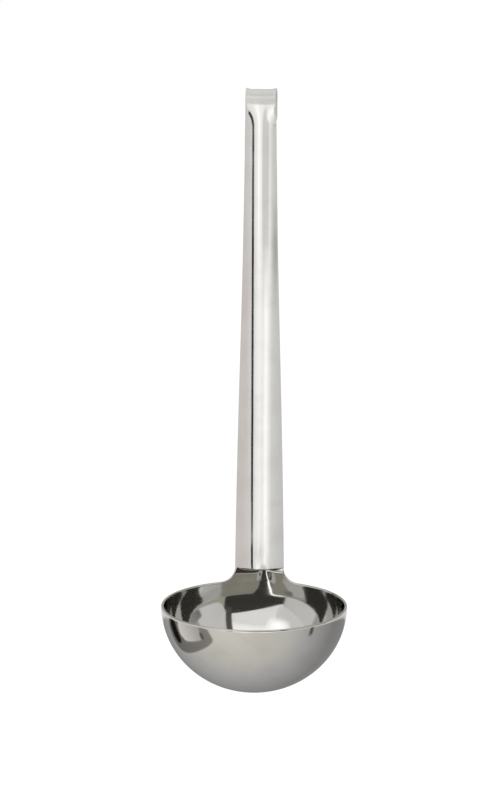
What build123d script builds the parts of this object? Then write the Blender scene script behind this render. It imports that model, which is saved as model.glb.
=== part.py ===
from build123d import *

import math
import os

# A soup ladle in polished stainless steel. A deep pressed bowl rises at the back into a short neck, and
# a hollow tapered handle stands on the neck. The handle's flattened end is bent back into a hanging hook.
# The neck ends in a tang that lies inside the handle and is spot-welded to the handle's back plate.
#
# Lengths are in millimetres. The ladle is drawn on the bowl's axis with the rim at height zero, and is
# moved at the end so that the hook's bend is the origin. +Z runs up the handle, and the bowl is in front
# of the handle, towards -Y.

# The bowl
BOWL_DIAMETER = 96.0
BOWL_DEPTH = 45.0
BOWL_SHEET = 1.4
RIM_ROUND = 0.5
# How far a control point stands off along a quarter ellipse's side
QUARTER_SHARE = 0.5523

# The neck, where the bowl's wall leans out and then turns upright again
NECK_HEIGHT = 7.0
NECK_BEND_RADIUS = 9.0
NECK_BEND_ANGLE = 30.0
NECK_FLARE_WIDTH = 7.2
NECK_ROOT_DEPTH = 5.0

# The tang inside the handle
TANG_LENGTH = 30.0
TANG_WIDTH = 17.0
TANG_TIP_WIDTH = 13.0
TANG_CORNER = 3.0

# The hollow handle
HANDLE_LENGTH = 221.0
MOUTH_WIDTH = 26.0
SHOULDER_WIDTH = 16.5
TAPER_WAVE_SHARE = 0.045
CROWN_RADIUS = 19.0
MOUTH_CROWN_RADIUS = 22.0
MOUTH_ROLL_LENGTH = 14.0
CROWN_WALL_DEPTH = 0.5
FRONT_SHEET = 1.3
SECTION_COUNT = 32

# The handle's back plate, a shallow tray that closes the hollow
BACK_SHEET = 1.0
BACK_WALL_DEPTH = 1.0
NOSE_RADIUS = 30.0
NOSE_DROP = 1.8
NOSE_CORNER = 4.0

# The flattened end and its hook
FLATTENING_LENGTH = 15.0
FLATTENING_COUNT = 4
STRIP_WIDTH = 15.9
STRIP_SHEET = 1.5
STRIP_LENGTH = 11.0
HOOK_INNER_RADIUS = 5.3
HOOK_DROP = 19.0
HOOK_CORNER = 3.0
HOOK_EDGE_ROUND = 0.5

# The spot welds between the tang and the back plate
NUGGET_DIAMETER = 4.0
NUGGET_BITE = 0.6
NUGGET_COUNT = 3

# How far a cutting tool runs past what it cuts
OVERRUN = 5.0

# The neck's and the tang's radii, measured from the bowl's axis
bowl_radius = BOWL_DIAMETER / 2
bend_angle = math.radians(NECK_BEND_ANGLE)
bend_height = 2 * NECK_BEND_RADIUS * math.sin(bend_angle)
tang_radius = bowl_radius + 2 * NECK_BEND_RADIUS * (1 - math.cos(bend_angle))
tang_top_z = NECK_HEIGHT + TANG_LENGTH
back_radius = tang_radius + BACK_SHEET

# The handle's levels, measured behind the bowl's axis
mouth_half = MOUTH_WIDTH / 2
flare_half = mouth_half + NECK_FLARE_WIDTH
shoulder_half = SHOULDER_WIDTH / 2
strip_half = STRIP_WIDTH / 2
seam_y = math.sqrt(tang_radius**2 - mouth_half**2) - BACK_WALL_DEPTH
crown_edge_y = seam_y - CROWN_WALL_DEPTH
strip_front_y = seam_y - STRIP_SHEET

# The handle's heights, up to the hook's bend
shoulder_z = NECK_HEIGHT + HANDLE_LENGTH
hollow_top_z = shoulder_z - NOSE_CORNER
strip_z = shoulder_z + FLATTENING_LENGTH
hook_z = strip_z + STRIP_LENGTH
hook_y = seam_y + HOOK_INNER_RADIUS
hook_outer_radius = HOOK_INNER_RADIUS + STRIP_SHEET
tip_z = hook_z + hook_outer_radius - HOOK_DROP


def quarter_ellipse(width, depth):
    """A curve in a quarter ellipse's shape, from its rim on the right down to its foot on the axis."""
    rim_handle = (width, -QUARTER_SHARE * depth)
    foot_handle = (QUARTER_SHARE * width, -depth)
    return Bezier((width, 0), rim_handle, foot_handle, (0, -depth))


def wall_curves():
    """The bowl's outer wall, its inner wall and its foot on the axis, which both of its sections share."""
    inner_depth = BOWL_DEPTH - BOWL_SHEET
    outer = quarter_ellipse(bowl_radius, BOWL_DEPTH)
    inner = quarter_ellipse(bowl_radius - BOWL_SHEET, inner_depth)
    return [outer, inner, Line((0, -inner_depth), (0, -BOWL_DEPTH))]


def wall_section():
    """Half of the plain bowl's section, beside its axis, with a rounded rim."""
    rim = Line((bowl_radius, 0), (bowl_radius - BOWL_SHEET, 0))
    section = make_face([*wall_curves(), rim])
    return Plane.XZ * fillet(section.vertices().group_by(Axis.Y)[-1], RIM_ROUND)


def neck_section():
    """Half of the bowl's section where the neck and the tang stand on it."""
    mid_wall = bowl_radius - BOWL_SHEET / 2
    mid_tang = tang_radius - BOWL_SHEET / 2
    lower_centre = (mid_wall + NECK_BEND_RADIUS, 0)
    upper_centre = (mid_tang - NECK_BEND_RADIUS, bend_height)
    tight = NECK_BEND_RADIUS - BOWL_SHEET / 2
    wide = NECK_BEND_RADIUS + BOWL_SHEET / 2
    tang_inside = tang_radius - BOWL_SHEET
    neck_curves = [
        CenterArc(lower_centre, tight, 180, -NECK_BEND_ANGLE),
        CenterArc(upper_centre, wide, -NECK_BEND_ANGLE, NECK_BEND_ANGLE),
        Line((tang_radius, bend_height), (tang_radius, tang_top_z)),
        Line((tang_radius, tang_top_z), (tang_inside, tang_top_z)),
        Line((tang_inside, tang_top_z), (tang_inside, bend_height)),
        CenterArc(upper_centre, tight, 0, -NECK_BEND_ANGLE),
        CenterArc(lower_centre, wide, 180 - NECK_BEND_ANGLE, NECK_BEND_ANGLE),
    ]
    return Plane.XZ * make_face([*wall_curves(), *neck_curves])


def neck_outline():
    """The neck seen from the front: its root in the wall, its flare, its shoulders and the tang."""
    tang_half = TANG_WIDTH / 2
    tip_half = TANG_TIP_WIDTH / 2
    half = make_face(
        [
            EllipticalCenterArc((flare_half, NECK_HEIGHT), NECK_FLARE_WIDTH, NECK_HEIGHT, 180, arc_size=90),
            Line((mouth_half, NECK_HEIGHT), (tang_half, NECK_HEIGHT)),
            Line((tang_half, NECK_HEIGHT), (tip_half, tang_top_z)),
            Line((tip_half, tang_top_z), (0, tang_top_z)),
            Line((0, tang_top_z), (0, -NECK_ROOT_DEPTH)),
            Line((0, -NECK_ROOT_DEPTH), (flare_half, -NECK_ROOT_DEPTH)),
            Line((flare_half, -NECK_ROOT_DEPTH), (flare_half, 0)),
        ]
    )
    outline = half + mirror(half, about=Plane.YZ)
    return fillet(outline.vertices().group_by(Axis.Y)[-1], TANG_CORNER)


def prism_behind(outline):
    """A front-view outline run back from the bowl's axis to behind the handle."""
    return extrude(Plane.XZ * outline, -(back_radius + OVERRUN))


def make_nuggets():
    """The weld nuggets, each as deep in the tang as in the back plate."""
    pitch = TANG_LENGTH / (NUGGET_COUNT + 1)
    nugget = Rot(90, 0, 0) * Cylinder(NUGGET_DIAMETER / 2, 2 * NUGGET_BITE)
    heights = [NECK_HEIGHT + pitch * (number + 1) for number in range(NUGGET_COUNT)]
    return [Pos(0, tang_radius, height) * nugget for height in heights]


def make_bowl(nuggets):
    """The bowl with its neck and tang, pressed from one sheet. The neck's root fills a gap in the wall."""
    gap = Rectangle(2 * flare_half, 2 * NECK_ROOT_DEPTH)
    wall = revolve(wall_section(), Axis.Z) - prism_behind(gap)
    neck = revolve(neck_section(), Axis.Z) & prism_behind(neck_outline())
    return wall + neck - nuggets


def sagitta(radius, half_chord):
    """How far an arc of that radius bulges over a chord of twice that half."""
    return radius - math.sqrt(radius**2 - half_chord**2)


def half_width(height):
    """Half of the handle's width at a height between its mouth and its shoulder."""
    up = (height - NECK_HEIGHT) / HANDLE_LENGTH
    done = up - TAPER_WAVE_SHARE * math.sin(2 * math.pi * up)
    return mouth_half - done * (mouth_half - shoulder_half)


def crown_radius(height):
    """The crown's radius at a height: the handle's mouth is rolled a little flatter."""
    left_over = max(0, 1 - (height - NECK_HEIGHT) / MOUTH_ROLL_LENGTH)
    return CROWN_RADIUS + (MOUTH_CROWN_RADIUS - CROWN_RADIUS) * left_over**2


def heights_to(top_z):
    """Evenly spaced heights from the handle's mouth."""
    return [NECK_HEIGHT + (top_z - NECK_HEIGHT) * step / SECTION_COUNT for step in range(SECTION_COUNT + 1)]


def arched_face(height, half, apex_y, edge_y, back_y):
    """A level section of the handle's front: an arched crown, two side walls and a flat back."""
    left = (-half, edge_y)
    right = (half, edge_y)
    arch = ThreePointArc(left, (0, apex_y), right)
    walls = Polyline(right, (half, back_y), (-half, back_y), left)
    return Pos(0, 0, height) * make_face([arch, walls])


def crown_sections():
    """The front shell's outer sections from the mouth to the shoulder."""
    sections = []
    for height in heights_to(shoulder_z):
        half = half_width(height)
        apex_y = crown_edge_y - sagitta(crown_radius(height), half)
        sections.append(arched_face(height, half, apex_y, crown_edge_y, seam_y))
    return sections


def hollow_sections():
    """The hollow's sections, one sheet inside the crown, from the mouth to below the shoulder."""
    sections = []
    for height in heights_to(hollow_top_z):
        half = half_width(height)
        radius = crown_radius(height)
        apex_y = crown_edge_y - sagitta(radius, half) + FRONT_SHEET
        edge_y = apex_y + sagitta(radius - FRONT_SHEET, half - FRONT_SHEET)
        sections.append(arched_face(height, half - FRONT_SHEET, apex_y, edge_y, seam_y + OVERRUN))
    return sections


def flattening_sections():
    """The front shell's sections above the shoulder, where the crown dies out into the flat strip."""
    bulge = sagitta(CROWN_RADIUS, shoulder_half)
    sections = []
    for step in range(1, FLATTENING_COUNT):
        up = step / FLATTENING_COUNT
        blend = up * up * (3 - 2 * up)
        edge_y = crown_edge_y + blend * (strip_front_y - crown_edge_y)
        half = shoulder_half + blend * (strip_half - shoulder_half)
        height = shoulder_z + up * FLATTENING_LENGTH
        sections.append(arched_face(height, half, edge_y - (1 - blend) * bulge, edge_y, seam_y))
    end = Pos(0, strip_front_y + STRIP_SHEET / 2, strip_z) * Rectangle(STRIP_WIDTH, STRIP_SHEET)
    return [*sections, end]


def hook_section():
    """The strip seen from the side: straight up, round the bend and down to the tip."""
    centre = (hook_y, hook_z)
    inner_y = hook_y + HOOK_INNER_RADIUS
    outer_y = hook_y + hook_outer_radius
    return Plane.YZ * make_face(
        [
            Line((strip_front_y, strip_z), (strip_front_y, hook_z)),
            CenterArc(centre, hook_outer_radius, 180, -180),
            Polyline((outer_y, hook_z), (outer_y, tip_z), (inner_y, tip_z), (inner_y, hook_z)),
            CenterArc(centre, HOOK_INNER_RADIUS, 0, 180),
            Polyline((seam_y, hook_z), (seam_y, strip_z), (strip_front_y, strip_z)),
        ]
    )


def make_hook():
    """The strip bent into the hook, with a rounded tip and rounded edges."""
    strip = extrude(hook_section(), strip_half, both=True)
    strip = fillet(strip.edges().filter_by(Axis.Y).group_by(Axis.Y)[-1], HOOK_CORNER)
    foot = strip.edges().filter_by(Axis.Y).group_by(Axis.Y)[0]
    return fillet(strip.faces().filter_by(Axis.X).edges() - foot, HOOK_EDGE_ROUND)


def make_front_shell():
    """The handle's arched front, which runs on into the strip and the hook."""
    outside = loft([*crown_sections(), *flattening_sections()])
    return outside - loft(hollow_sections()) + make_hook()


def plate_outline(inset, top_z, corner):
    """The handle seen from the front between its mouth and a height, with rounded top corners."""
    points = [(half_width(height) - inset, height) for height in heights_to(top_z)]
    side = Spline(points)
    ends = Polyline(side @ 1, (0, top_z), (0, NECK_HEIGHT), side @ 0)
    half = make_face([side, ends])
    outline = half + mirror(half, about=Plane.YZ)
    return fillet(outline.vertices().group_by(Axis.Y)[-1], corner)


def nose_section(depth, front_y, top_z):
    """The back plate seen from the side, that far under its skin, with its back curving in to the nose."""
    radius = NOSE_RADIUS - depth
    back_y = back_radius - depth
    start_z = shoulder_z - math.sqrt(NOSE_RADIUS**2 - (NOSE_RADIUS - NOSE_DROP) ** 2)
    turn = math.asin((top_z - start_z) / radius)
    nose = CenterArc((back_y - radius, start_z), radius, 0, math.degrees(turn))
    rest = Polyline(nose @ 1, (front_y, top_z), (front_y, NECK_HEIGHT), (back_y, NECK_HEIGHT), nose @ 0)
    return Plane.YZ * make_face([nose, rest])


def plate_body(depth, front_y, top_z, corner):
    """What lies that far under the back plate's skin, in front of it and below a height."""
    round_back = Pos(0, 0, shoulder_z / 2) * Cylinder(back_radius - depth, shoulder_z)
    side_view = extrude(nose_section(depth, front_y, top_z), mouth_half + OVERRUN, both=True)
    return round_back & side_view & prism_behind(plate_outline(depth, top_z, corner))


def make_back_plate(nuggets):
    """The handle's back, a tray that rests on the front shell's walls and on the tang."""
    outside = plate_body(0, seam_y, shoulder_z, NOSE_CORNER)
    inside = plate_body(BACK_SHEET, seam_y - OVERRUN, hollow_top_z, NOSE_CORNER - BACK_SHEET)
    return outside - inside - nuggets


weld_nuggets = make_nuggets()
pieces = {
    "bowl": make_bowl(weld_nuggets),
    "handle_front_shell": make_front_shell(),
    "handle_back_plate": make_back_plate(weld_nuggets),
    "tang_spot_welds": Compound(children=weld_nuggets),
}

os.makedirs("parts", exist_ok=True)
for name, piece in pieces.items():
    placed = Pos(0, -hook_y, -hook_z) * piece
    export_step(placed, f"parts/{name}.step")
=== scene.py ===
from collections import namedtuple
import math

import bmesh
import bpy
from bpy.props import FloatProperty, FloatVectorProperty, IntProperty, PointerProperty
from bpy.types import Operator, Panel, PropertyGroup
from mathutils import Matrix, Vector


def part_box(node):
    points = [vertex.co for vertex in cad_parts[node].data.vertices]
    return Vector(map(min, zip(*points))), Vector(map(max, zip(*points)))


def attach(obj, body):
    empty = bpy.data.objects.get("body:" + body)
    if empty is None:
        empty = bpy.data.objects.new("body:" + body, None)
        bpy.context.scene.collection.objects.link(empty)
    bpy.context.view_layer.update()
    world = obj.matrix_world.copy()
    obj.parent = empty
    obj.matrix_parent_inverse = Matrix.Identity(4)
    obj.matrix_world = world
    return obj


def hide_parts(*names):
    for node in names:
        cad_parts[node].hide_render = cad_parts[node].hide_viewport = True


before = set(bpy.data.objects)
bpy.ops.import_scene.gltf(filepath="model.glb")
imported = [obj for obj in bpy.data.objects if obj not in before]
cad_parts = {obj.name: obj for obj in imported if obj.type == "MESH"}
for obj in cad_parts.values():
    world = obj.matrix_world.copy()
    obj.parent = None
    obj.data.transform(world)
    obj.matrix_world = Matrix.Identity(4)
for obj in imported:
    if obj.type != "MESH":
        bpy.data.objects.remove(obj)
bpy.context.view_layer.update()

bl_info = {
    "name": "Soup ladle",
    "version": (1, 0, 0),
    "blender": (4, 5, 0),
    "location": "3D view > Sidebar > Ladle",
    "description": "Builds a polished steel soup ladle on its packed frame, with a studio round it",
    "category": "Object",
}

MM = 0.001
# Less than this is no distance at all
SLIVER = MM / 1000
QUARTER_TURN = math.pi / 2
HALF_TURN = math.pi
FULL_TURN = 2 * math.pi

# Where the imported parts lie. +Z runs up the handle, and the origin is on the axis of the hook's bend.
bowl_low, bowl_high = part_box("bowl")
shell_low, shell_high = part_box("handle_front_shell")
plate_low, plate_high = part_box("handle_back_plate")
bowl_radius = (bowl_high.x - bowl_low.x) / 2
axis_y = bowl_low.y + bowl_radius
tang_radius = bowl_high.y - axis_y
back_radius = plate_high.y - axis_y
mouth_half = shell_high.x
mouth_z = shell_low.z
shoulder_z = plate_high.z
seam_y = plate_low.y
hook_outer_radius = shell_high.z
hook_inner_radius = -seam_y
strip_sheet = hook_outer_radius - hook_inner_radius


def linear_colour(code):
    """A colour written as an sRGB hex value, in the linear values that the shader reads."""
    channels = [int(code[start:start + 2], 16) / 255 for start in (1, 3, 5)]
    linear = [value / 12.92 if value <= 0.04045 else ((value + 0.055) / 1.055) ** 2.4 for value in channels]
    return (*linear, 1)


class BowlSizes(PropertyGroup):
    """Sizes of the bowl, its neck and its tang."""

    depth: FloatProperty(
        name="Depth", description="From the rim down to the foot, outside", default=45 * MM, unit="LENGTH"
    )
    sheet: FloatProperty(name="Sheet", description="Thickness of the steel", default=1.4 * MM, unit="LENGTH")
    border: FloatProperty(
        name="Border", description="Strip along every edge that keeps its rounding small", default=0.8 * MM,
        unit="LENGTH",
    )
    neck_height: FloatProperty(
        name="Neck height", description="From the rim up to the handle's mouth", default=7 * MM, unit="LENGTH"
    )
    dimple_depth: FloatProperty(
        name="Dimple depth", description="How far under the rim the dimple starts to lean back",
        default=8 * MM,
        unit="LENGTH",
    )
    dimple_place: FloatProperty(
        name="Dimple place", description="How far the dimple's middle lies off the handle's",
        default=2.7 * MM, unit="LENGTH",
    )
    dimple_width: FloatProperty(
        name="Dimple width", description="Over how much width each side of the dimple dies out",
        default=2.2 * MM, unit="LENGTH",
    )
    dimple_power: FloatProperty(
        name="Dimple power", description="How steeply it dies out: 1 is a point and 2 a round bell",
        default=1.43,
    )
    dimple_rise: FloatProperty(
        name="Dimple rise", description="How far past the neck's top the dimple's point would reach",
        default=1.35,
    )
    crease: FloatVectorProperty(
        name="Creases", description="How soft the dimple's left and right outlines are", size=2,
        default=(0.2 * MM, 0.5 * MM), unit="LENGTH",
    )
    lean_start: FloatVectorProperty(
        name="Lean start", description="Height over the rim where the neck leans back, left and right",
        size=2, default=(4 * MM, 5.5 * MM), unit="LENGTH",
    )
    lean_end: FloatVectorProperty(
        name="Lean end", description="Height over the rim where it has leant back, left and right", size=2,
        default=(11 * MM, 8.5 * MM), unit="LENGTH",
    )
    lean_softness: FloatProperty(
        name="Lean softness", description="How much of the lean starts and ends gently, from nought to one",
        default=0.3,
    )
    clearance: FloatProperty(
        name="Clearance", description="What the bowl stays inside its size, for its smoothing",
        default=0.03 * MM, unit="LENGTH",
    )
    flare: FloatProperty(
        name="Flare", description="How much wider each side of the neck grows",
        default=7.2 * MM, unit="LENGTH",
    )
    tang_length: FloatProperty(
        name="Tang", description="Length of the tang inside the handle", default=30 * MM, unit="LENGTH"
    )
    tang_half: FloatProperty(
        name="Tang half width", description="Half the tang's width at its root",
        default=8.5 * MM, unit="LENGTH",
    )
    tip_half: FloatProperty(
        name="Tang tip half width", description="Half the tang's width at its tip", default=6.5 * MM,
        unit="LENGTH",
    )
    tip_corner: FloatProperty(
        name="Tang corner", description="Radius of the tang's corners", default=3 * MM, unit="LENGTH"
    )
    columns: IntProperty(name="Columns", description="Faces round the bowl", default=192)
    rings: IntProperty(name="Rings", description="Faces from the foot to the rim", default=44)


class HandleSizes(PropertyGroup):
    """Sizes of the handle's two pressed sheets."""

    crown_radius: FloatProperty(
        name="Crown radius", description="Radius of the arched front", default=19 * MM, unit="LENGTH"
    )
    mouth_radius: FloatProperty(
        name="Mouth radius", description="Radius of the arched front at the mouth", default=17.5 * MM,
        unit="LENGTH",
    )
    mouth_roll: FloatProperty(
        name="Mouth roll", description="Length over which the front swells to the mouth", default=14.5 * MM,
        unit="LENGTH",
    )
    shoulder_half: FloatProperty(
        name="Shoulder half width", description="Half the width at the shoulder", default=8.25 * MM,
        unit="LENGTH",
    )
    taper_wave: FloatProperty(
        name="Taper wave", description="How far the taper swings off a straight one", default=0.045
    )
    wall: FloatProperty(
        name="Side wall", description="Depth of the wall behind the crown's edge", default=0.5 * MM,
        unit="LENGTH",
    )
    sheet: FloatProperty(
        name="Front sheet", description="Thickness of the front shell", default=1.3 * MM, unit="LENGTH"
    )
    back_sheet: FloatProperty(
        name="Back sheet", description="Thickness of the back plate", default=1 * MM, unit="LENGTH"
    )
    nose_corner: FloatProperty(
        name="Nose corner", description="Radius of the back plate's top corners", default=4 * MM,
        unit="LENGTH",
    )
    nose_radius: FloatProperty(
        name="Nose radius", description="Radius that brings the back plate in at its top", default=30 * MM,
        unit="LENGTH",
    )
    nose_drop: FloatProperty(
        name="Nose drop", description="How far the back plate comes in at its top", default=1.8 * MM,
        unit="LENGTH",
    )
    seam_round: FloatProperty(
        name="Seam edge", description="Rounding of the edges that meet at the seam", default=0.3 * MM,
        unit="LENGTH",
    )
    hollow_share: FloatProperty(
        name="Hollow share", description="How much of the width inside the front shell its crown takes",
        default=0.97,
    )
    edge_share: FloatProperty(
        name="Edge share", description="How far up the front shell's wall the row between its edges lies",
        default=0.4,
    )
    back_edge: FloatProperty(
        name="Back edge", description="Depth of the row behind the back plate's seam, in roundings",
        default=1.3,
    )
    flat_inset: FloatProperty(
        name="Flat inset", description="How far the flat of a sheet's back keeps off its edge",
        default=2.2 * MM, unit="LENGTH",
    )
    edge_step: FloatProperty(
        name="Edge step", description="Between the rows along the edge of a flat back", default=0.5 * MM,
        unit="LENGTH",
    )
    crowding: FloatProperty(
        name="Crowding", description="How much the front shell's rows crowd towards the mouth", default=0.5
    )
    rows: IntProperty(name="Rows", description="Faces along the hollow handle", default=40)
    columns: IntProperty(name="Columns", description="Faces across the crown", default=12)


class HookSizes(PropertyGroup):
    """Sizes of the flat strip and the hook."""

    strip_half: FloatProperty(
        name="Strip half width", description="Half the strip's width", default=7.95 * MM, unit="LENGTH"
    )
    drop: FloatProperty(
        name="Drop", description="From the top of the bend down to the tip", default=19 * MM, unit="LENGTH"
    )
    corner: FloatProperty(
        name="Tip corner", description="Radius of the tip's corners", default=3 * MM, unit="LENGTH"
    )
    edge: FloatProperty(
        name="Edge", description="Rounding of the strip's edges", default=0.5 * MM, unit="LENGTH"
    )
    fade_start: FloatProperty(
        name="Fade start", description="How far below the bend the crown starts to die out",
        default=12.5 * MM, unit="LENGTH",
    )
    fade_length: FloatProperty(
        name="Fade length", description="Length over which the crown dies out", default=16.5 * MM,
        unit="LENGTH",
    )
    dip: FloatProperty(
        name="Dip", description="How far the middle of the bend sinks between its edges", default=0.6 * MM,
        unit="LENGTH",
    )
    dip_length: FloatProperty(
        name="Dip length", description="Length round the bend over which its middle sinks and thins",
        default=7 * MM, unit="LENGTH",
    )
    lip: FloatProperty(
        name="Lip", description="Width of the edges that stand up in the bend", default=2.2 * MM,
        unit="LENGTH",
    )
    strip_rows: IntProperty(name="Strip rows", description="Faces from the shoulder to the bend", default=16)
    tail_rows: IntProperty(
        name="Tail rows", description="Faces from the bend to the tip's corners",
        default=3,
    )
    bend_rows: IntProperty(name="Bend rows", description="Faces round the bend", default=16)


class SteelLook(PropertyGroup):
    """Colour and finish of the steel."""

    colour: FloatVectorProperty(
        name="Steel", description="Colour of the polished steel", size=4, subtype="COLOR",
        default=linear_colour("#d7d6d3"),
    )
    haze: FloatVectorProperty(
        name="Haze", description="Colour where the polish is a little hazy", size=4, subtype="COLOR",
        default=linear_colour("#d1cfcb"),
    )
    mirror: FloatProperty(name="Mirror", description="Roughness where the polish is best", default=0.05)
    buffed: FloatProperty(name="Buffed", description="Roughness in the buffing lines", default=0.1)
    satin: FloatProperty(
        name="Satin", description="Roughness of the hook, which is only brushed",
        default=0.45,
    )
    dull: FloatVectorProperty(
        name="Dull", description="Roughness of a spot weld, where it is smoothest and where it is pitted",
        size=2, default=(0.45, 0.6),
    )
    straw: FloatVectorProperty(
        name="Straw", description="Heat tint furthest from the weld's middle", size=4, subtype="COLOR",
        default=linear_colour("#b8a888"),
    )
    blue: FloatVectorProperty(
        name="Blue", description="Heat tint nearer the weld's middle", size=4, subtype="COLOR",
        default=linear_colour("#8f9097"),
    )
    ring_width: FloatProperty(
        name="Ring width", description="From one ring of heat tint to the next",
        default=1.2 * MM, unit="LENGTH",
    )
    pit_width: FloatProperty(
        name="Pit width", description="Width of a weld's pits", default=0.4 * MM, unit="LENGTH"
    )
    pit_depth: FloatProperty(
        name="Pit depth", description="Depth of a weld's pits", default=0.05 * MM, unit="LENGTH"
    )
    # Real buffing lines are some hundredths of a millimetre wide, too fine to show, so they are drawn coarser
    line_width: FloatProperty(
        name="Line width", description="Width of a buffing line", default=0.35 * MM, unit="LENGTH"
    )
    line_length: FloatProperty(
        name="Line length", description="Length of a buffing line", default=30 * MM, unit="LENGTH"
    )
    line_depth: FloatProperty(
        name="Line depth", description="Depth of a buffing line", default=0.0008 * MM, unit="LENGTH"
    )
    wave_length: FloatProperty(
        name="Wave length", description="From one hollow the press left to the next", default=24 * MM,
        unit="LENGTH",
    )
    wave_depth: FloatProperty(
        name="Wave depth", description="Depth of those hollows", default=0.02 * MM, unit="LENGTH"
    )


class CameraSetup(PropertyGroup):
    """Where the camera stands and what it takes in."""

    azimuth: FloatProperty(
        name="Azimuth", description="How far the camera stands to the right", default=math.radians(3.48),
        subtype="ANGLE",
    )
    elevation: FloatProperty(
        name="Elevation", description="How far the camera looks down", default=math.radians(11.5),
        subtype="ANGLE",
    )
    roll: FloatProperty(
        name="Roll", description="Turn about the line of sight", default=math.radians(0.13), subtype="ANGLE"
    )
    aim: FloatVectorProperty(
        name="Aim", description="The place on the ladle that the framing starts from", size=3,
        default=(0, -30 * MM, -146 * MM), unit="LENGTH",
    )
    framing: FloatVectorProperty(
        name="Framing", description="How far left and down of the aim the picture's middle lies", size=2,
        default=(4.53 * MM, 5.1 * MM), unit="LENGTH",
    )
    distance: FloatProperty(
        name="Distance", description="From the camera to the ladle", default=1.4, unit="LENGTH"
    )
    lens: FloatProperty(
        name="Lens", description="Focal length, for the frame height below", default=122.2 * MM,
        unit="CAMERA",
    )
    frame_height: FloatProperty(
        name="Frame height", description="Height of the frame behind the lens", default=36 * MM, unit="CAMERA"
    )
    farthest: FloatProperty(
        name="Farthest", description="How far the camera sees", default=20, unit="LENGTH"
    )


class StudioLook(PropertyGroup):
    """What stands round the ladle in the studio."""

    card_distance: FloatProperty(
        name="Card distance", description="From the ladle to the lamps and flags", default=5.0, unit="LENGTH"
    )
    near_distance: FloatProperty(
        name="Near distance", description="From the hook to the two cards close to it", default=0.15,
        unit="LENGTH",
    )
    card_step: FloatProperty(
        name="Card step", description="How much nearer each card stands than the one before", default=0.01,
        subtype="FACTOR",
    )
    floor_gap: FloatProperty(
        name="Floor gap", description="How far the bowl hangs over the floor", default=60 * MM, unit="LENGTH"
    )
    floor_size: FloatProperty(
        name="Floor size", description="Width of the floor", default=6.0, unit="LENGTH"
    )
    floor_grey: FloatVectorProperty(
        name="Floor grey", description="Colour of the floor under the lamps", size=4, subtype="COLOR",
        default=linear_colour("#a0a0a0"),
    )
    floor_fill: FloatProperty(
        name="Floor fill", description="How much of the floor's white doesn't hang on the lamps", default=0.7
    )


def sagitta(radius, half_chord):
    """How far an arc of that radius bulges over a chord of twice that half."""
    return radius - math.sqrt(radius**2 - half_chord**2)


def smooth_step(share):
    """An S-shaped rise from nought to one."""
    held = min(max(share, 0), 1)
    return held * held * (3 - 2 * held)


def mix(first, second, share):
    """The value that share of the way from the first to the second."""
    return first + (second - first) * share


def half_width(z, handle):
    """Half of the handle's width at a height."""
    up = (z - mouth_z) / (shoulder_z - mouth_z)
    done = up - handle.taper_wave * math.sin(FULL_TURN * up)
    return mouth_half - done * (mouth_half - handle.shoulder_half)


def skin_columns(count):
    """Places across a sheet: three at each edge, where the share is one, and the crown's between them."""
    crown = [math.sin(QUARTER_TURN * (2 * step / count - 1)) for step in range(count + 1)]
    return [(-1, edge) for edge in range(3)] + [(share, None) for share in crown] + [
        (1, edge) for edge in reversed(range(3))
    ]


def sheet_body(columns, rows, place):
    """A closed body from a flat grid and its second skin: place() puts each of their vertices."""
    body = bmesh.new()
    bmesh.ops.create_grid(body, x_segments=columns, y_segments=rows, size=0.5)
    second = bmesh.ops.extrude_face_region(body, geom=body.faces[:], use_keep_orig=True)
    inner = {item for item in second["geom"] if isinstance(item, bmesh.types.BMVert)}
    for vert in body.verts:
        column = round((vert.co.x + 0.5) * columns)
        row = round((vert.co.y + 0.5) * rows)
        vert.co = place(column, row, vert in inner)
    bmesh.ops.recalc_face_normals(body, faces=body.faces[:])
    return body


def add_piece(name, body, node, material):
    """Makes a finished body the piece that stands for a CAD node."""
    for face in body.faces:
        face.smooth = True
    mesh = bpy.data.meshes.new(name)
    body.to_mesh(mesh)
    body.free()
    mesh.materials.append(material)
    piece = bpy.data.objects.new(name, mesh)
    bpy.context.scene.collection.objects.link(piece)
    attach(piece, "root")
    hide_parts(node)
    return piece


def subdivide(piece, levels):
    """Smooths a piece."""
    subdivision = piece.modifiers.new("Smooth", "SUBSURF")
    subdivision.levels = levels
    subdivision.render_levels = levels


def neck_lean(height, x, bowl):
    """How far behind the bowl's wall the neck's sheet stands, at a height over the rim."""
    whole = tang_radius - bowl_radius
    off = (x - bowl.dimple_place) / bowl.dimple_width
    right = smooth_step(off)
    crease = mix(*bowl.crease, right)
    begun = min(max(height / bowl.dimple_depth + 1, 0), 1)
    run = bowl.dimple_depth / 2 * begun**2 + max(height, 0)
    ramp = whole * run / (bowl.dimple_depth / 2 + bowl.neck_height)
    reach = whole * bowl.dimple_rise * math.exp(-abs(off) ** bowl.dimple_power)
    share = min(max(0.5 + (reach - ramp) / (2 * crease), 0), 1)
    dimple = mix(reach, ramp, share) - crease * share * (1 - share)
    start = mix(*bowl.lean_start, right)
    over = min(max((height - start) / (mix(*bowl.lean_end, right) - start), 0), 1)
    return mix(min(max(dimple, 0), whole), whole, mix(over, smooth_step(over), bowl.lean_softness))


def neck_radius(height, x, bowl):
    """How far the middle of the neck's sheet lies from the bowl's axis at a height over the rim."""
    mid_wall = bowl_radius - bowl.sheet / 2 - bowl.clearance
    below = min(height, 0) / (bowl.depth - bowl.sheet / 2)
    return mid_wall * math.sqrt(1 - below**2) + neck_lean(height, x, bowl)


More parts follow.
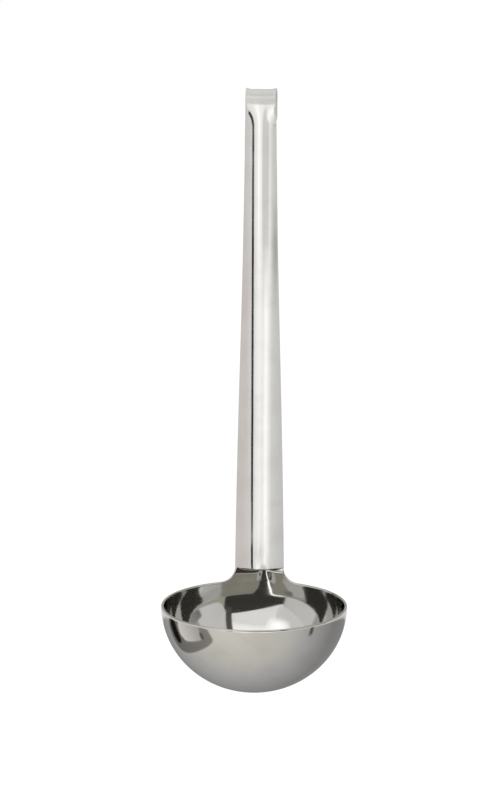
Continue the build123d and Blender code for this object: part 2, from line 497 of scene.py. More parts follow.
def neck_rows(bowl):
    """The neck's and the tang's rows, as heights over the rim and half widths, inside their border."""
    inset = bowl.border
    rows = []
    for degrees in (8, 20, 30, 40, 50, 60, 68, 76, 84, 90):
        turn = math.radians(degrees)
        height = bowl.neck_height - (bowl.neck_height + inset) * math.cos(turn)
        half = mouth_half - inset + (bowl.flare + inset) * (1 - math.sin(turn))
        rows.append((height, half))
    top = bowl.neck_height + bowl.tang_length
    root = bowl.neck_height + inset
    for share in (0, 0.25, 0.5, 0.75):
        height = mix(root, top - bowl.tip_corner, share)
        rows.append((height, mix(bowl.tang_half, bowl.tip_half, share) - inset))
    for degrees in (0, 30, 60, 90):
        turn = math.radians(degrees)
        height = top - bowl.tip_corner + (bowl.tip_corner - inset) * math.sin(turn)
        rows.append((height, bowl.tip_half - bowl.tip_corner + (bowl.tip_corner - inset) * math.cos(turn)))
    return rows


def extrude_neck(sheet, bowl):
    """Draws the back of the bowl's uppermost ring up into the neck and the tang."""
    top_z = max(vert.co.z for vert in sheet.verts)
    reach = mouth_half + bowl.flare + bowl.border / 2
    row = [vert for vert in sheet.verts if vert.co.z > top_z - SLIVER and vert.co.y > 0]
    row = [vert for vert in row if abs(vert.co.x) < reach]
    for height, half in neck_rows(bowl):
        base_half = max(vert.co.x for vert in row)
        held = set(row)
        edges = {edge for vert in row for edge in vert.link_edges if set(edge.verts) <= held}
        drawn = bmesh.ops.extrude_edge_only(sheet, edges=list(edges))
        row = [item for item in drawn["geom"] if isinstance(item, bmesh.types.BMVert)]
        for vert in row:
            x = vert.co.x / base_half * half
            vert.co = (x, math.sqrt(neck_radius(height, x, bowl) ** 2 - x**2), height)


# A strip along a border reaches no further past its corner than one over this share of its width
SHARPEST_MITRE = 0.7


def widen_border(sheet, width):
    """Adds a strip of faces along a sheet's open edge, in line with the sheet."""
    border = [edge for edge in sheet.edges if edge.is_boundary]
    sides = {}
    for edge in border:
        face = edge.link_faces[0]
        start, end = edge.verts
        side = (end.co - start.co).cross(face.normal).normalized()
        if side.dot(start.co - face.calc_center_median()) < 0:
            side.negate()
        sides.setdefault(start, []).append(side)
        sides.setdefault(end, []).append(side)
    drawn = bmesh.ops.extrude_edge_only(sheet, edges=border)
    for vert in [item for item in drawn["geom"] if isinstance(item, bmesh.types.BMVert)]:
        root = next(edge.other_vert(vert) for edge in vert.link_edges if edge.other_vert(vert) in sides)
        first, last = sides[root]
        middle = (first + last).normalized()
        vert.co += middle * width / max(middle.dot(first), SHARPEST_MITRE)


def build_bowl(bowl):
    """The middle of the bowl's sheet: a quarter ellipse spun round, with the neck drawn up at its back."""
    sheet = bmesh.new()
    mid_depth = bowl.depth - bowl.sheet / 2
    mid_radius = bowl_radius - bowl.sheet / 2 - bowl.clearance
    foot = bmesh.ops.create_vert(sheet, co=(0, 0, -mid_depth))["vert"]
    turn = math.acos(bowl.border / mid_depth)
    bmesh.ops.spin(sheet, geom=foot, cent=(0, 0, 0), axis=(1, 0, 0), angle=turn, steps=bowl.rings)
    bmesh.ops.scale(sheet, verts=sheet.verts[:], vec=(1, mid_radius / mid_depth, 1))
    profile = sheet.verts[:] + sheet.edges[:]
    bmesh.ops.spin(
        sheet, geom=profile, cent=(0, 0, 0), axis=(0, 0, 1), angle=FULL_TURN, steps=bowl.columns,
        use_merge=True,
    )
    bmesh.ops.remove_doubles(sheet, verts=sheet.verts[:], dist=SLIVER)
    for vert in sheet.verts:
        x, y, height = vert.co
        if y > 0 and abs(x) < mouth_half + bowl.flare and height > -bowl.dimple_depth:
            vert.co.y = math.sqrt(neck_radius(height, x, bowl) ** 2 - x**2)
    extrude_neck(sheet, bowl)
    bmesh.ops.recalc_face_normals(sheet, faces=sheet.faces[:])
    widen_border(sheet, bowl.border)
    lowest = min(sheet.faces, key=lambda face: face.calc_center_median().z)
    if lowest.normal.z > 0:
        bmesh.ops.reverse_faces(sheet, faces=sheet.faces[:])
    bmesh.ops.translate(sheet, verts=sheet.verts[:], vec=(0, axis_y, mouth_z - bowl.neck_height))
    return sheet


def arch_depth(x, half, bulge):
    """How far an arch stands over its chord, at a distance from the middle."""
    radius = (half**2 + bulge**2) / (2 * bulge)
    return math.sqrt(radius**2 - x**2) - (radius - bulge)


def shell_stations(handle, hook):
    """The front shell's rows: how far along the sheet past the bend's start, and how much narrower."""
    stations = [mouth_z, mouth_z + handle.seam_round]
    for step in range(1, handle.rows + 1):
        share = step / handle.rows
        stations.append(mix(mouth_z, shoulder_z, mix(share, share**2, handle.crowding)))
    stations += [mix(shoulder_z, 0, step / hook.strip_rows) for step in range(1, hook.strip_rows)]
    bend = HALF_TURN * hook_inner_radius
    stations += [bend * step / hook.bend_rows for step in range(hook.bend_rows + 1)]
    tail = hook.drop - hook_outer_radius - hook.corner
    stations += [bend + tail * step / hook.tail_rows for step in range(1, hook.tail_rows + 1)]
    rows = [(along, 0) for along in stations]
    for degrees in (22.5, 45, 67.5, 90):
        turn = math.radians(degrees)
        rows.append((bend + tail + hook.corner * math.sin(turn), hook.corner * (1 - math.cos(turn))))
    return rows


def folded(x, depth, along):
    """A point of the strip, depth in front of its back: straight up, round the bend, then down."""
    turn = min(max(along / hook_inner_radius, 0), HALF_TURN)
    radius = hook_inner_radius + depth
    rest = along - turn * hook_inner_radius
    return (x, -radius * math.cos(turn), radius * math.sin(turn) + rest * math.cos(turn))


def build_front_shell(handle, hook):
    """The arched front of the handle, which flattens into the strip and bends back into the hook."""
    columns = skin_columns(handle.columns)
    rows = shell_stations(handle, hook)
    bend = HALF_TURN * hook_inner_radius
    apex = handle.wall + sagitta(handle.crown_radius, handle.shoulder_half)

    def place(column, row, inner):
        share, edge = columns[column]
        along, narrower = rows[row]
        widened = smooth_step((along - shoulder_z) / -shoulder_z)
        faded = smooth_step((along + hook.fade_start) / hook.fade_length)
        thinned = smooth_step(along / hook.dip_length)
        solid = smooth_step((along - shoulder_z + 2 * handle.nose_corner) / handle.nose_corner)
        half = mix(half_width(min(along, shoulder_z), handle), hook.strip_half, widened) - narrower
        roll = max(0, 1 - (along - mouth_z) / handle.mouth_roll) ** 2
        crown = sagitta(mix(handle.crown_radius, handle.mouth_radius, roll), half + narrower)
        bulge = max(crown * (1 - faded), SLIVER)
        wall = mix(max(handle.wall, apex - bulge), strip_sheet, thinned)
        round_off = mix(2 * handle.seam_round, hook.edge, widened)
        dip = hook.dip * thinned * smooth_step((bend - along) / hook.dip_length)
        if inner:
            x, depth = inner_point(share, edge, half, wall, bulge, solid, handle)
            if edge is None:
                depth -= dip / 3 * (1 - lip_rise(x, half, hook))
        elif edge is not None:
            x = share * half
            depth = wall * (0, handle.edge_share, 1)[edge]
        else:
            x = share * (half - round_off)
            depth = wall + arch_depth(x, half, bulge) - dip * (1 - lip_rise(x, half, hook))
        return folded(x, depth, along)

    return sheet_body(len(columns) - 1, len(rows) - 1, place)


def lip_rise(x, half, hook):
    """How much of the lip's height stands at a distance from the middle of the bend."""
    return smooth_step((abs(x) - half + hook.lip) / (hook.lip - hook.edge))


def inner_point(share, edge, half, wall, bulge, solid, handle):
    """A place on the front shell's back skin, which is hollow in the handle and flat above it."""
    sheet = handle.sheet
    clear = half - sheet
    radius = (half**2 + bulge**2) / (2 * bulge)
    centre = wall + bulge - radius
    edge_depth = max(centre + math.sqrt(max((radius - sheet) ** 2 - clear**2, 0)), sheet / 8)
    if edge is None:
        hollow_x = share * clear * handle.hollow_share
        hollow_depth = max(centre + math.sqrt((radius - sheet) ** 2 - hollow_x**2), edge_depth)
        flat_x = share * (half - handle.flat_inset)
    else:
        hollow_x = share * clear
        hollow_depth = edge_depth * (0, 0.5, 1)[edge]
        flat_x = share * (half - handle.edge_step * (1 + edge))
    return mix(hollow_x, flat_x, solid), mix(hollow_depth, 0, solid)


def build_back_plate(handle):
    """The handle's back, a shallow tray whose top curves in to a rounded nose."""
    columns = skin_columns(handle.columns)
    corner = handle.nose_corner
    levels = [mouth_z, mouth_z + handle.seam_round]
    levels += [mix(mouth_z, shoulder_z - corner, step / handle.rows) for step in range(1, handle.rows + 1)]
    rows = [(z, 0) for z in levels]
    for degrees in (15, 30, 45, 60, 75, 90):
        turn = math.radians(degrees)
        rows.append((shoulder_z - corner + corner * math.sin(turn), corner * (1 - math.cos(turn))))
    nose_z = shoulder_z - math.sqrt(handle.nose_radius**2 - (handle.nose_radius - handle.nose_drop) ** 2)

    def place(column, row, inner):
        share, edge = columns[column]
        z, narrower = rows[row]
        half = half_width(z, handle) - narrower
        drop = sagitta(handle.nose_radius, max(z - nose_z, 0))
        sheet = handle.back_sheet if inner else 0
        side = half - sheet
        x = share * side if edge is not None else share * (side - 2 * handle.seam_round)
        depth = math.sqrt(back_radius**2 - x**2) + axis_y - seam_y - drop - sheet
        if edge is not None:
            depth = (0, handle.back_edge * handle.seam_round, depth)[edge]
        if inner:
            closing = smooth_step((z - shoulder_z + 2 * corner) / corner)
            depth = mix(depth, 0, closing)
            x = mix(x, share * (side - handle.edge_step * (edge or 0)), closing)
        return (x, seam_y + depth, z)

    return sheet_body(len(columns) - 1, len(rows) - 1, place)


Card = namedtuple("Card", "name azimuth elevation width height tilt low high tint soft square")

# Lamps and flags, as the steel mirrors them: where each stands and how large it looks, in degrees, how
# bright it is at its ends of lower and of higher azimuth, and how much of it its soft edge takes. A tilt
# lifts the end of higher azimuth. Its corners are as square as the last number says: 2 is round. A later
# one stands nearer and covers the ones before it.
CARDS = (
    Card("front_flag", 1.5, 23.5, 83, 40, 0, 0.045, 0.045, "#fffaf0", 0.06, 8),
    Card("left_wall", -64, 16, 56, 32, 0, 0.7, 0.66, "#ffffff", 0.2, 8),
    Card("left_lamp", -56, 38, 52, 40, 0, 0.76, 0.82, "#ffffff", 0.15, 6),
    Card("top_lamp", -4, 42, 84, 34, 13, 1.0, 0.96, "#ffffff", 0.12, 8),
    Card("upper_glow", -4, 62, 120, 34, 0, 1.3, 1.3, "#ffffff", 0.8, 3),
    Card("left_glow", -42, 46, 46, 28, 0, 1.5, 1.5, "#ffffff", 0.9, 2),
    Card("right_lamp", 69, 30, 46, 40, 0, 0.72, 0.72, "#ffffff", 0.12, 5),
    Card("leg", 45, 38, 9, 42, -20, 0.09, 0.09, "#fffaf0", 0.25, 8),
    Card("right_low", 50, 1.75, 112, 8.5, 0, 0.2, 0.3, "#fffcec", 0.2, 8),
    Card("right_flag", 94, 16, 26, 12, 0, 0.2, 0.35, "#ffffff", 0.3, 4),
    Card("front_dim", 13, -3.6, 26, 4.4, 0, 0.85, 0.85, "#ffffff", 0.4, 4),
    Card("neck_lamp", -24, 2.5, 36, 8.5, 0, 1.7, 1.7, "#ffffff", 0.4, 4),
    Card("front_lamp", -8, -3, 11, 9, 0, 1.5, 1.5, "#ffffff", 0.9, 2),
    Card("dark_post", -26.3, -7.5, 7.5, 11.8, 0, 0.03, 0.03, "#ffffff", 0.15, 8),
    Card("right_shade", 46, -5.0, 34, 2.6, 0, 0.42, 0.42, "#ffffff", 1.0, 2),
    Card("left_blush", -50, -8, 24, 9, 0, 0.86, 0.86, "#fff4f2", 0.8, 2),
    Card("table_edge", -93.5, -31, 73, 27, 0, 0.17, 0.3, "#fffaf2", 0.1, 4),
    Card("table_shade", -119, -25, 15, 18, 0, 0.01, 0.01, "#ffffff", 0.2, 3),
    Card("table_card", -88, -25.5, 38, 19, 0, 0.86, 0.48, "#fffaf8", 0.15, 5),
    Card("table_mark", -68, -28, 6, 11, 0, 0.13, 0.13, "#ffeeea", 0.5, 3),
    Card("small_mark", 80, -22, 8, 16, 0, 0.1, 0.1, "#fffaf0", 0.7, 3),
)

# Two that are there for the hook's bend, and stand close round its axis
HOOK_CARDS = (
    Card("hook_front", 5, 24, 100, 44, 0, 0.88, 0.88, "#ffffff", 0.1, 8),
    Card("hook_top", 180, 64, 110, 70, 0, 0.88, 0.88, "#ffffff", 0.2, 4),
)

# What a place in the room looks like: a share of the way, how bright it is, its tint, and how much of the
# bright band round the horizon covers it
Stop = namedtuple("Stop", "place brightness tint cover", defaults=("#ffffff", 0))

# The walls, from straight down to straight up, at sines of the elevation
WALLS = (
    Stop(-0.29, 0.8, cover=1), Stop(0.03, 1.0, cover=1), Stop(0.1, 0.45, "#f8f4e6"),
    Stop(1.0, 0.45, "#f8f4e6"),
)
# The floor, from in front of the ladle to behind it
FLOOR = (
    Stop(-1.0, 0.82, "#fffcf4"), Stop(-0.7, 0.73, "#fffcf4"), Stop(-0.3, 0.64, "#fffdf6"), Stop(0.0, 0.54),
    Stop(0.45, 0.4), Stop(0.8, 0.28),
)
# The bright band, at shares of a half turn from straight in front
BAND = (
    Stop(-1.0, 0.75), Stop(-0.56, 0.8), Stop(-0.33, 0.83, "#fff8f6"), Stop(-0.2, 0.88), Stop(-0.13, 1.0),
    Stop(-0.08, 1.2), Stop(-0.02, 1.32), Stop(0.035, 1.22), Stop(0.06, 1.35), Stop(0.083, 1.5),
    Stop(0.11, 1.4), Stop(0.14, 1.2), Stop(0.19, 0.93), Stop(0.25, 0.86), Stop(0.33, 0.8),
    Stop(0.56, 0.75), Stop(1.0, 0.75),
)
# The sine of the elevation up to which the floor shows, and over how much of it floor and wall blend
FLOOR_EDGE = -0.3
FLOOR_BLEND = 0.02
# How much a step sideways darkens the floor, against a step back
FLOOR_SLANT = 0.4
# What a full colour of the ramps stands for
BRIGHTEST = 2.0


def toward(azimuth, elevation):
    """The direction to a place in the studio: azimuth nought is straight in front of the ladle."""
    return Vector((
        math.sin(azimuth) * math.cos(elevation), -math.cos(azimuth) * math.cos(elevation), math.sin(elevation)
    ))


def add_node(tree, kind, links=None, **settings):
    """Adds a node with its settings. The links name the sockets of other nodes that feed its inputs."""
    node = tree.nodes.new(kind)
    for name, value in settings.items():
        setattr(node, name, value)
    for name, source in (links or {}).items():
        if hasattr(source, "is_output"):
            tree.links.new(source, node.inputs[name])
        else:
            node.inputs[name].default_value = source
    return node


def empty_material(name):
    """A material whose tree is still bare."""
    material = bpy.data.materials.new(name)
    material.use_nodes = True
    material.node_tree.nodes.clear()
    return material, material.node_tree


def bare_steel(name):
    """A metal that has no finish yet: its material, its tree and its shader."""
    material = bpy.data.materials.new(name)
    material.use_nodes = True
    shader = material.node_tree.nodes["Principled BSDF"]
    shader.inputs["Metallic"].default_value = 1
    return material, material.node_tree, shader


def card_material(card, half_width_m, half_height_m):
    """Light from a lamp or a flag, which dies out towards its edges."""
    material, tree = empty_material(card.name)
    place = add_node(tree, "ShaderNodeTexCoord").outputs["Object"]
    size = (1 / half_width_m, 1 / half_height_m, 0)
    shares = add_node(tree, "ShaderNodeVectorMath", {0: place, 1: size}, operation="MULTIPLY").outputs[0]
    sides = add_node(tree, "ShaderNodeSeparateXYZ", {0: shares})
    terms = []
    for side in (sides.outputs["X"], sides.outputs["Y"]):
        size_of = add_node(tree, "ShaderNodeMath", {0: side}, operation="ABSOLUTE").outputs[0]
        terms.append(add_node(tree, "ShaderNodeMath", {0: size_of, 1: card.square}, operation="POWER"))
    both = add_node(tree, "ShaderNodeMath", {0: terms[0].outputs[0], 1: terms[1].outputs[0]}).outputs[0]
    reach = add_node(tree, "ShaderNodeMath", {0: both, 1: 1 / card.square}, operation="POWER").outputs[0]
    mask = add_node(
        tree, "ShaderNodeMapRange", {"Value": reach, "From Min": 1.0, "From Max": 1 - card.soft},
        interpolation_type="SMOOTHSTEP",
    ).outputs["Result"]
    strength = add_node(
        tree, "ShaderNodeMapRange",
        {"Value": sides.outputs["X"], "From Min": -1.0, "To Min": card.high, "To Max": card.low},
    ).outputs["Result"]
    light = add_node(tree, "ShaderNodeEmission", {"Color": linear_colour(card.tint), "Strength": strength})
    clear = add_node(tree, "ShaderNodeBsdfTransparent")
    blend = add_node(tree, "ShaderNodeMixShader", {0: mask, 1: clear.outputs[0], 2: light.outputs[0]})
    add_node(tree, "ShaderNodeOutputMaterial", {"Surface": blend.outputs[0]})
    return material


def set_stops(ramp, stops):
    """Sets a colour ramp's stops, whose places run from minus one to one."""
    elements = ramp.color_ramp.elements
    while len(elements) < len(stops):
        elements.new(1)
    for element, stop in zip(elements, stops):
        element.position = (1 + stop.place) / 2
        tint = linear_colour(stop.tint)
        element.color = [channel * stop.brightness / BRIGHTEST for channel in tint[:3]] + [stop.cover]


def build_world(scene):
    """The room: plain white to the camera, and what the steel mirrors between the lamps."""
    world = bpy.data.worlds.new("room")
    world.use_nodes = True
    tree = world.node_tree
    direction = add_node(tree, "ShaderNodeTexCoord").outputs["Generated"]
    sides = add_node(tree, "ShaderNodeSeparateXYZ", {0: direction})
    across, back, height = sides.outputs
    front = add_node(tree, "ShaderNodeMath", {0: back, 1: -1.0}, operation="MULTIPLY").outputs[0]
    turn = add_node(tree, "ShaderNodeMath", {0: across, 1: front}, operation="ARCTAN2").outputs[0]
    depth = add_node(
        tree, "ShaderNodeMath", {0: across, 1: FLOOR_SLANT, 2: back}, operation="MULTIPLY_ADD"
    ).outputs[0]
    ramps = []
    for value, reach, stops in ((height, 1, WALLS), (depth, 1, FLOOR), (turn, HALF_TURN, BAND)):
        share = add_node(
            tree, "ShaderNodeMapRange", {"Value": value, "From Min": -float(reach), "From Max": float(reach)}
        )
        ramps.append(add_node(tree, "ShaderNodeValToRGB", {0: share.outputs["Result"]}))
        set_stops(ramps[-1], stops)
    walls, floor, band = ramps
    upright = add_node(
        tree, "ShaderNodeMix",
        {0: walls.outputs["Alpha"], 6: walls.outputs["Color"], 7: band.outputs["Color"]}, data_type="RGBA",
    )
    above = add_node(
        tree, "ShaderNodeMapRange",
        {"Value": height, "From Min": FLOOR_EDGE - FLOOR_BLEND, "From Max": FLOOR_EDGE},
    )
    room = add_node(
        tree, "ShaderNodeMix",
        {0: above.outputs["Result"], 6: floor.outputs["Color"], 7: upright.outputs[2]}, data_type="RGBA",
    )
    path = add_node(tree, "ShaderNodeLightPath")
    mirrored = add_node(tree, "ShaderNodeBackground", {"Color": room.outputs[2], "Strength": BRIGHTEST})
    plain = add_node(tree, "ShaderNodeBackground", {"Color": (1, 1, 1, 1)})
    seen = add_node(
        tree, "ShaderNodeMixShader",
        {0: path.outputs["Is Glossy Ray"], 1: plain.outputs[0], 2: mirrored.outputs[0]},
    )
    tree.links.new(seen.outputs[0], tree.nodes["World Output"].inputs["Surface"])
    scene.world = world


def stage_sheet(name, width, height, material):
    """A flat sheet of the studio, on the origin."""
    sheet = bmesh.new()
    bmesh.ops.create_grid(sheet, x_segments=1, y_segments=1, size=0.5)
    bmesh.ops.scale(sheet, vec=(width, height, 1), verts=sheet.verts[:])
    mesh = bpy.data.meshes.new(name)
    sheet.to_mesh(mesh)
    sheet.free()
    mesh.materials.append(material)
    obj = bpy.data.objects.new(name, mesh)
    bpy.context.scene.collection.objects.link(obj)
    return obj


def build_floor(look):
    """The plain white floor, which keeps the ladle's shadow."""
    material, tree = empty_material("white_floor")
    matt = add_node(tree, "ShaderNodeBsdfDiffuse", {"Color": look.floor_grey})
    path = add_node(tree, "ShaderNodeLightPath")
    fill = add_node(
        tree, "ShaderNodeMath", {0: path.outputs["Is Camera Ray"], 1: look.floor_fill}, operation="MULTIPLY"
    )
    light = add_node(tree, "ShaderNodeEmission", {"Strength": fill.outputs[0]})
    both = add_node(tree, "ShaderNodeAddShader", {0: matt.outputs[0], 1: light.outputs[0]})
    add_node(tree, "ShaderNodeOutputMaterial", {"Surface": both.outputs[0]})
    floor = stage_sheet("floor", look.floor_size, look.floor_size, material)
    floor.matrix_world = Matrix.Translation((0, 0, bowl_low.z - look.floor_gap))
    floor.visible_glossy = False


def only_mirrored(obj):
    """Leaves a studio object to the steel's reflections."""
    for ray in ("camera", "diffuse", "shadow", "transmission", "volume_scatter"):
        setattr(obj, "visible_" + ray, False)


def add_card(card, distance, centre):
    """A lamp or a flag, facing the ladle."""
    width = 2 * distance * math.tan(math.radians(card.width / 2))
    height = 2 * distance * math.tan(math.radians(card.height / 2))
    obj = stage_sheet(card.name, width, height, card_material(card, width / 2, height / 2))
    direction = toward(math.radians(card.azimuth), math.radians(card.elevation))
    turn = (-direction).to_track_quat("Z", "Y").to_matrix().to_4x4()
    tilt = Matrix.Rotation(-math.radians(card.tilt), 4, "Z")
    obj.matrix_world = Matrix.Translation(centre + direction * distance) @ turn @ tilt
    only_mirrored(obj)


def round_lines(tree, look):
    """Where a point lies on the bowl's turned lines: round its axis, and from the foot up to the rim."""
    place = add_node(tree, "ShaderNodeTexCoord").outputs["Object"]
    rim_centre = (0, -axis_y, bpy.context.scene.ladle_bowl.neck_height - mouth_z)
    centred = add_node(tree, "ShaderNodeVectorMath", {0: place, 1: rim_centre}).outputs[0]
    flat = add_node(
        tree, "ShaderNodeVectorMath", {0: centred, 1: (1, 1, 0)}, operation="MULTIPLY"
    ).outputs[0]
    around = add_node(tree, "ShaderNodeVectorMath", {0: flat}, operation="NORMALIZE").outputs[0]
    turned = add_node(
        tree, "ShaderNodeVectorMath", {0: around, "Scale": bowl_radius / look.line_length}, operation="SCALE"
    ).outputs[0]
    reach = add_node(tree, "ShaderNodeVectorMath", {0: flat}, operation="LENGTH").outputs["Value"]
    height = add_node(tree, "ShaderNodeSeparateXYZ", {0: centred}).outputs["Z"]
    lean = add_node(tree, "ShaderNodeMath", {0: height, 1: reach}, operation="ARCTAN2").outputs[0]
    up = add_node(
        tree, "ShaderNodeMath", {0: lean, 1: bowl_radius / look.line_width}, operation="MULTIPLY"
    ).outputs[0]
    upward = add_node(tree, "ShaderNodeCombineXYZ", {"Z": up}).outputs[0]
    return add_node(tree, "ShaderNodeVectorMath", {0: turned, 1: upward}).outputs[0]


def long_lines(tree, look):
    """Where a point lies on the handle's buffing lines, which run lengthwise."""
    place = add_node(tree, "ShaderNodeTexCoord").outputs["Object"]
    scale = (1 / look.line_width, 1 / look.line_width, 1 / look.line_length)
    return add_node(tree, "ShaderNodeVectorMath", {0: place, 1: scale}, operation="MULTIPLY").outputs[0]


# Between which values of their noise the haze and the buffing lines come up
HAZY = (0.4, 0.75)
BUFFED = (0.3, 0.7)
# Where the mirror turns to satin, as shares of the hook's radius over the bend's axis
SATIN_TURN = (-0.24, -0.04)


def polished_steel(name, lines, look):
    """Mirror-buffed stainless steel. The eye sees a clear mirror whose images waver a little over the
    hollows that the press left, and go soft along fine lines where the wheel ran. The hook is only
    brushed satin."""
    material, tree, shader = bare_steel(name)
    place = add_node(tree, "ShaderNodeTexCoord").outputs["Object"]
    waves = add_node(
        tree, "ShaderNodeTexNoise", {"Vector": place, "Scale": 1 / look.wave_length, "Detail": 1.0}
    ).outputs["Fac"]
    buffing = add_node(
        tree, "ShaderNodeTexNoise", {"Vector": lines(tree, look), "Scale": 1.0, "Detail": 2.0}
    ).outputs["Fac"]
    patches = add_node(
        tree, "ShaderNodeTexNoise", {"Vector": place, "Scale": 2 / look.wave_length, "Detail": 3.0}
    ).outputs["Fac"]
    hazy = add_node(
        tree, "ShaderNodeMapRange", {"Value": patches, "From Min": HAZY[0], "From Max": HAZY[1]},
        interpolation_type="SMOOTHSTEP",
    ).outputs["Result"]
    colour = add_node(tree, "ShaderNodeMix", {0: hazy, 6: look.colour, 7: look.haze}, data_type="RGBA")
    tree.links.new(colour.outputs[2], shader.inputs["Base Color"])
    polish = add_node(
        tree, "ShaderNodeMapRange",
        {
            "Value": buffing, "From Min": BUFFED[0], "From Max": BUFFED[1], "To Min": look.mirror,
            "To Max": look.buffed,
        },
    ).outputs["Result"]
    height = add_node(tree, "ShaderNodeSeparateXYZ", {0: place}).outputs["Z"]
    mirror_end, satin_start = (share * hook_outer_radius for share in SATIN_TURN)
    brushed = add_node(
        tree, "ShaderNodeMapRange", {"Value": height, "From Min": mirror_end, "From Max": satin_start},
        interpolation_type="SMOOTHSTEP",
    ).outputs["Result"]
    finish = add_node(tree, "ShaderNodeMix", {0: brushed, 2: polish, 3: look.satin}).outputs[0]
    tree.links.new(finish, shader.inputs["Roughness"])
    pressed = add_node(tree, "ShaderNodeBump", {"Height": waves, "Distance": look.wave_depth})
    scored = add_node(
        tree, "ShaderNodeBump",
        {"Height": buffing, "Distance": look.line_depth, "Normal": pressed.outputs[0]},
    )
    tree.links.new(scored.outputs[0], shader.inputs["Normal"])
    return material


def spot_weld_steel(look):
    """Steel that was melted between a spot welder's tips. The eye sees a dull, finely pitted grey with the
    straw and blue tints of the heat in rings round each nugget."""
    material, tree, shader = bare_steel("spot_weld_steel")
    place = add_node(tree, "ShaderNodeTexCoord").outputs["Object"]
    rings = add_node(
        tree, "ShaderNodeTexWave", {"Vector": place, "Scale": 1 / look.ring_width, "Distortion": 2.0},
        wave_type="RINGS", rings_direction="Y",
    ).outputs["Fac"]
    tinted = add_node(
        tree, "ShaderNodeMix", {0: rings, 6: look.straw, 7: look.blue}, data_type="RGBA"
    )
    tree.links.new(tinted.outputs[2], shader.inputs["Base Color"])
    pits = add_node(
        tree, "ShaderNodeTexNoise", {"Vector": place, "Scale": 1 / look.pit_width, "Detail": 3.0}
    ).outputs["Fac"]
    dull = add_node(
        tree, "ShaderNodeMapRange", {"Value": pits, "To Min": look.dull[0], "To Max": look.dull[1]}
    ).outputs["Result"]
    tree.links.new(dull, shader.inputs["Roughness"])
    pitted = add_node(tree, "ShaderNodeBump", {"Height": pits, "Distance": look.pit_depth})
    tree.links.new(pitted.outputs[0], shader.inputs["Normal"])
    return material


class LADLE_OT_bowl(Operator):
    """Build the bowl with its neck and tang"""

    bl_idname = "ladle.bowl"
    bl_label = "Bowl"

    def execute(self, context):
        bowl = context.scene.ladle_bowl
        steel = polished_steel("turned_polished_steel", round_lines, context.scene.ladle_steel)
        piece = add_piece("bowl_and_neck", build_bowl(bowl), "bowl", steel)
        wall = piece.modifiers.new("Sheet", "SOLIDIFY")
        wall.thickness = bowl.sheet
        wall.offset = 0
        wall.use_even_offset = True
        subdivide(piece, 1)
        return {"FINISHED"}


class LADLE_OT_front(Operator):
    """Build the handle's front shell with its hook"""

    bl_idname = "ladle.front"
    bl_label = "Handle front and hook"

    def execute(self, context):
        body = build_front_shell(context.scene.ladle_handle, context.scene.ladle_hook)
        steel = polished_steel("buffed_polished_steel", long_lines, context.scene.ladle_steel)
        piece = add_piece("handle_front", body, "handle_front_shell", steel)
        subdivide(piece, 2)
        return {"FINISHED"}


class LADLE_OT_back(Operator):
    """Build the handle's back plate"""

    bl_idname = "ladle.back"
    bl_label = "Handle back"

    def execute(self, context):
        body = build_back_plate(context.scene.ladle_handle)
        steel = polished_steel("buffed_back_steel", long_lines, context.scene.ladle_steel)
        piece = add_piece("handle_back", body, "handle_back_plate", steel)
        subdivide(piece, 2)
        return {"FINISHED"}


class LADLE_OT_welds(Operator):
    """Finish the spot welds, which the frame brings along"""

    bl_idname = "ladle.welds"
    bl_label = "Spot welds"

    def execute(self, context):
        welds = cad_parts["tang_spot_welds"]
        welds.data.materials.clear()
        welds.data.materials.append(spot_weld_steel(context.scene.ladle_steel))
        return {"FINISHED"}


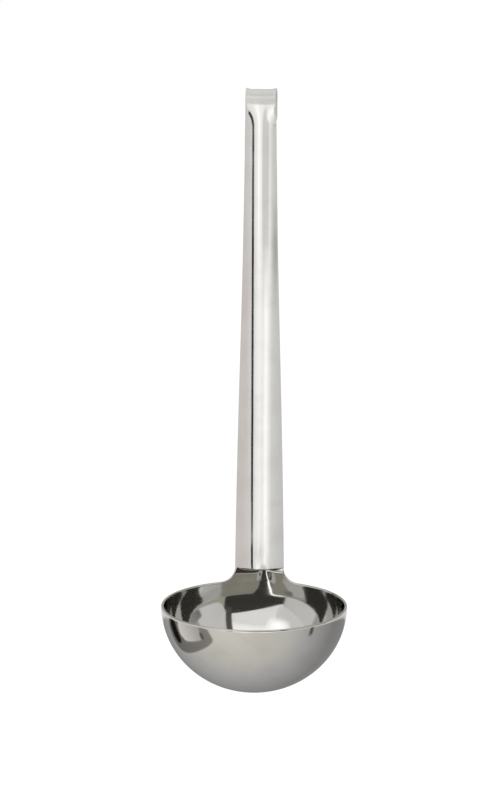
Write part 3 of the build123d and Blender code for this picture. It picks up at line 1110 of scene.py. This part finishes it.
class LADLE_OT_studio(Operator):
    """Set up the floor, the lights and the camera"""

    bl_idname = "ladle.studio"
    bl_label = "Studio"

    def execute(self, context):
        scene = context.scene
        scene.view_settings.view_transform = "Standard"
        setup = scene.ladle_camera
        camera = bpy.data.cameras.new("camera")
        camera.sensor_fit = "VERTICAL"
        camera.sensor_height = setup.frame_height / MM
        camera.lens = setup.lens / MM
        camera.clip_end = setup.farthest
        back = toward(setup.azimuth, setup.elevation)
        right = Vector((math.cos(setup.azimuth), math.sin(setup.azimuth), 0))
        up = back.cross(right)
        left, down = setup.framing
        aim = Vector(setup.aim) - right * left - up * down
        turn = Matrix((right, up, back)).transposed().to_4x4()
        holder = bpy.data.objects.new("camera", camera)
        holder.matrix_world = Matrix.Translation(aim + back * setup.distance) @ turn @ Matrix.Rotation(
            setup.roll, 4, "Z"
        )
        scene.collection.objects.link(holder)
        scene.camera = holder
        build_world(scene)
        look = scene.ladle_studio
        build_floor(look)
        for number, card in enumerate(CARDS):
            add_card(card, look.card_distance * (1 - number * look.card_step), Vector((0, axis_y, mouth_z)))
        for card in HOOK_CARDS:
            add_card(card, look.near_distance, Vector())
        return {"FINISHED"}


class LADLE_PT_sidebar(Panel):
    """Lists what the ladle is made of"""

    bl_label = "Soup ladle"
    bl_space_type = "VIEW_3D"
    bl_region_type = "UI"
    bl_category = "Ladle"

    def draw(self, context):
        for operator in OPERATORS:
            self.layout.operator(operator.bl_idname)


GROUPS = {
    "ladle_bowl": BowlSizes,
    "ladle_handle": HandleSizes,
    "ladle_hook": HookSizes,
    "ladle_steel": SteelLook,
    "ladle_camera": CameraSetup,
    "ladle_studio": StudioLook,
}
OPERATORS = (LADLE_OT_bowl, LADLE_OT_front, LADLE_OT_back, LADLE_OT_welds, LADLE_OT_studio)


def register():
    """Makes the ladle's sizes, operators and panel known."""
    for name, group in GROUPS.items():
        bpy.utils.register_class(group)
        setattr(bpy.types.Scene, name, PointerProperty(type=group))
    for operator in (*OPERATORS, LADLE_PT_sidebar):
        bpy.utils.register_class(operator)


def unregister():
    """Takes them away again."""
    for operator in (LADLE_PT_sidebar, *reversed(OPERATORS)):
        bpy.utils.unregister_class(operator)
    for name, group in reversed(GROUPS.items()):
        delattr(bpy.types.Scene, name)
        bpy.utils.unregister_class(group)


def main():
    """Builds the ladle and its studio."""
    register()
    bpy.ops.ladle.bowl()
    bpy.ops.ladle.front()
    bpy.ops.ladle.back()
    bpy.ops.ladle.welds()
    bpy.ops.ladle.studio()


if __name__ == "__main__":
    main()
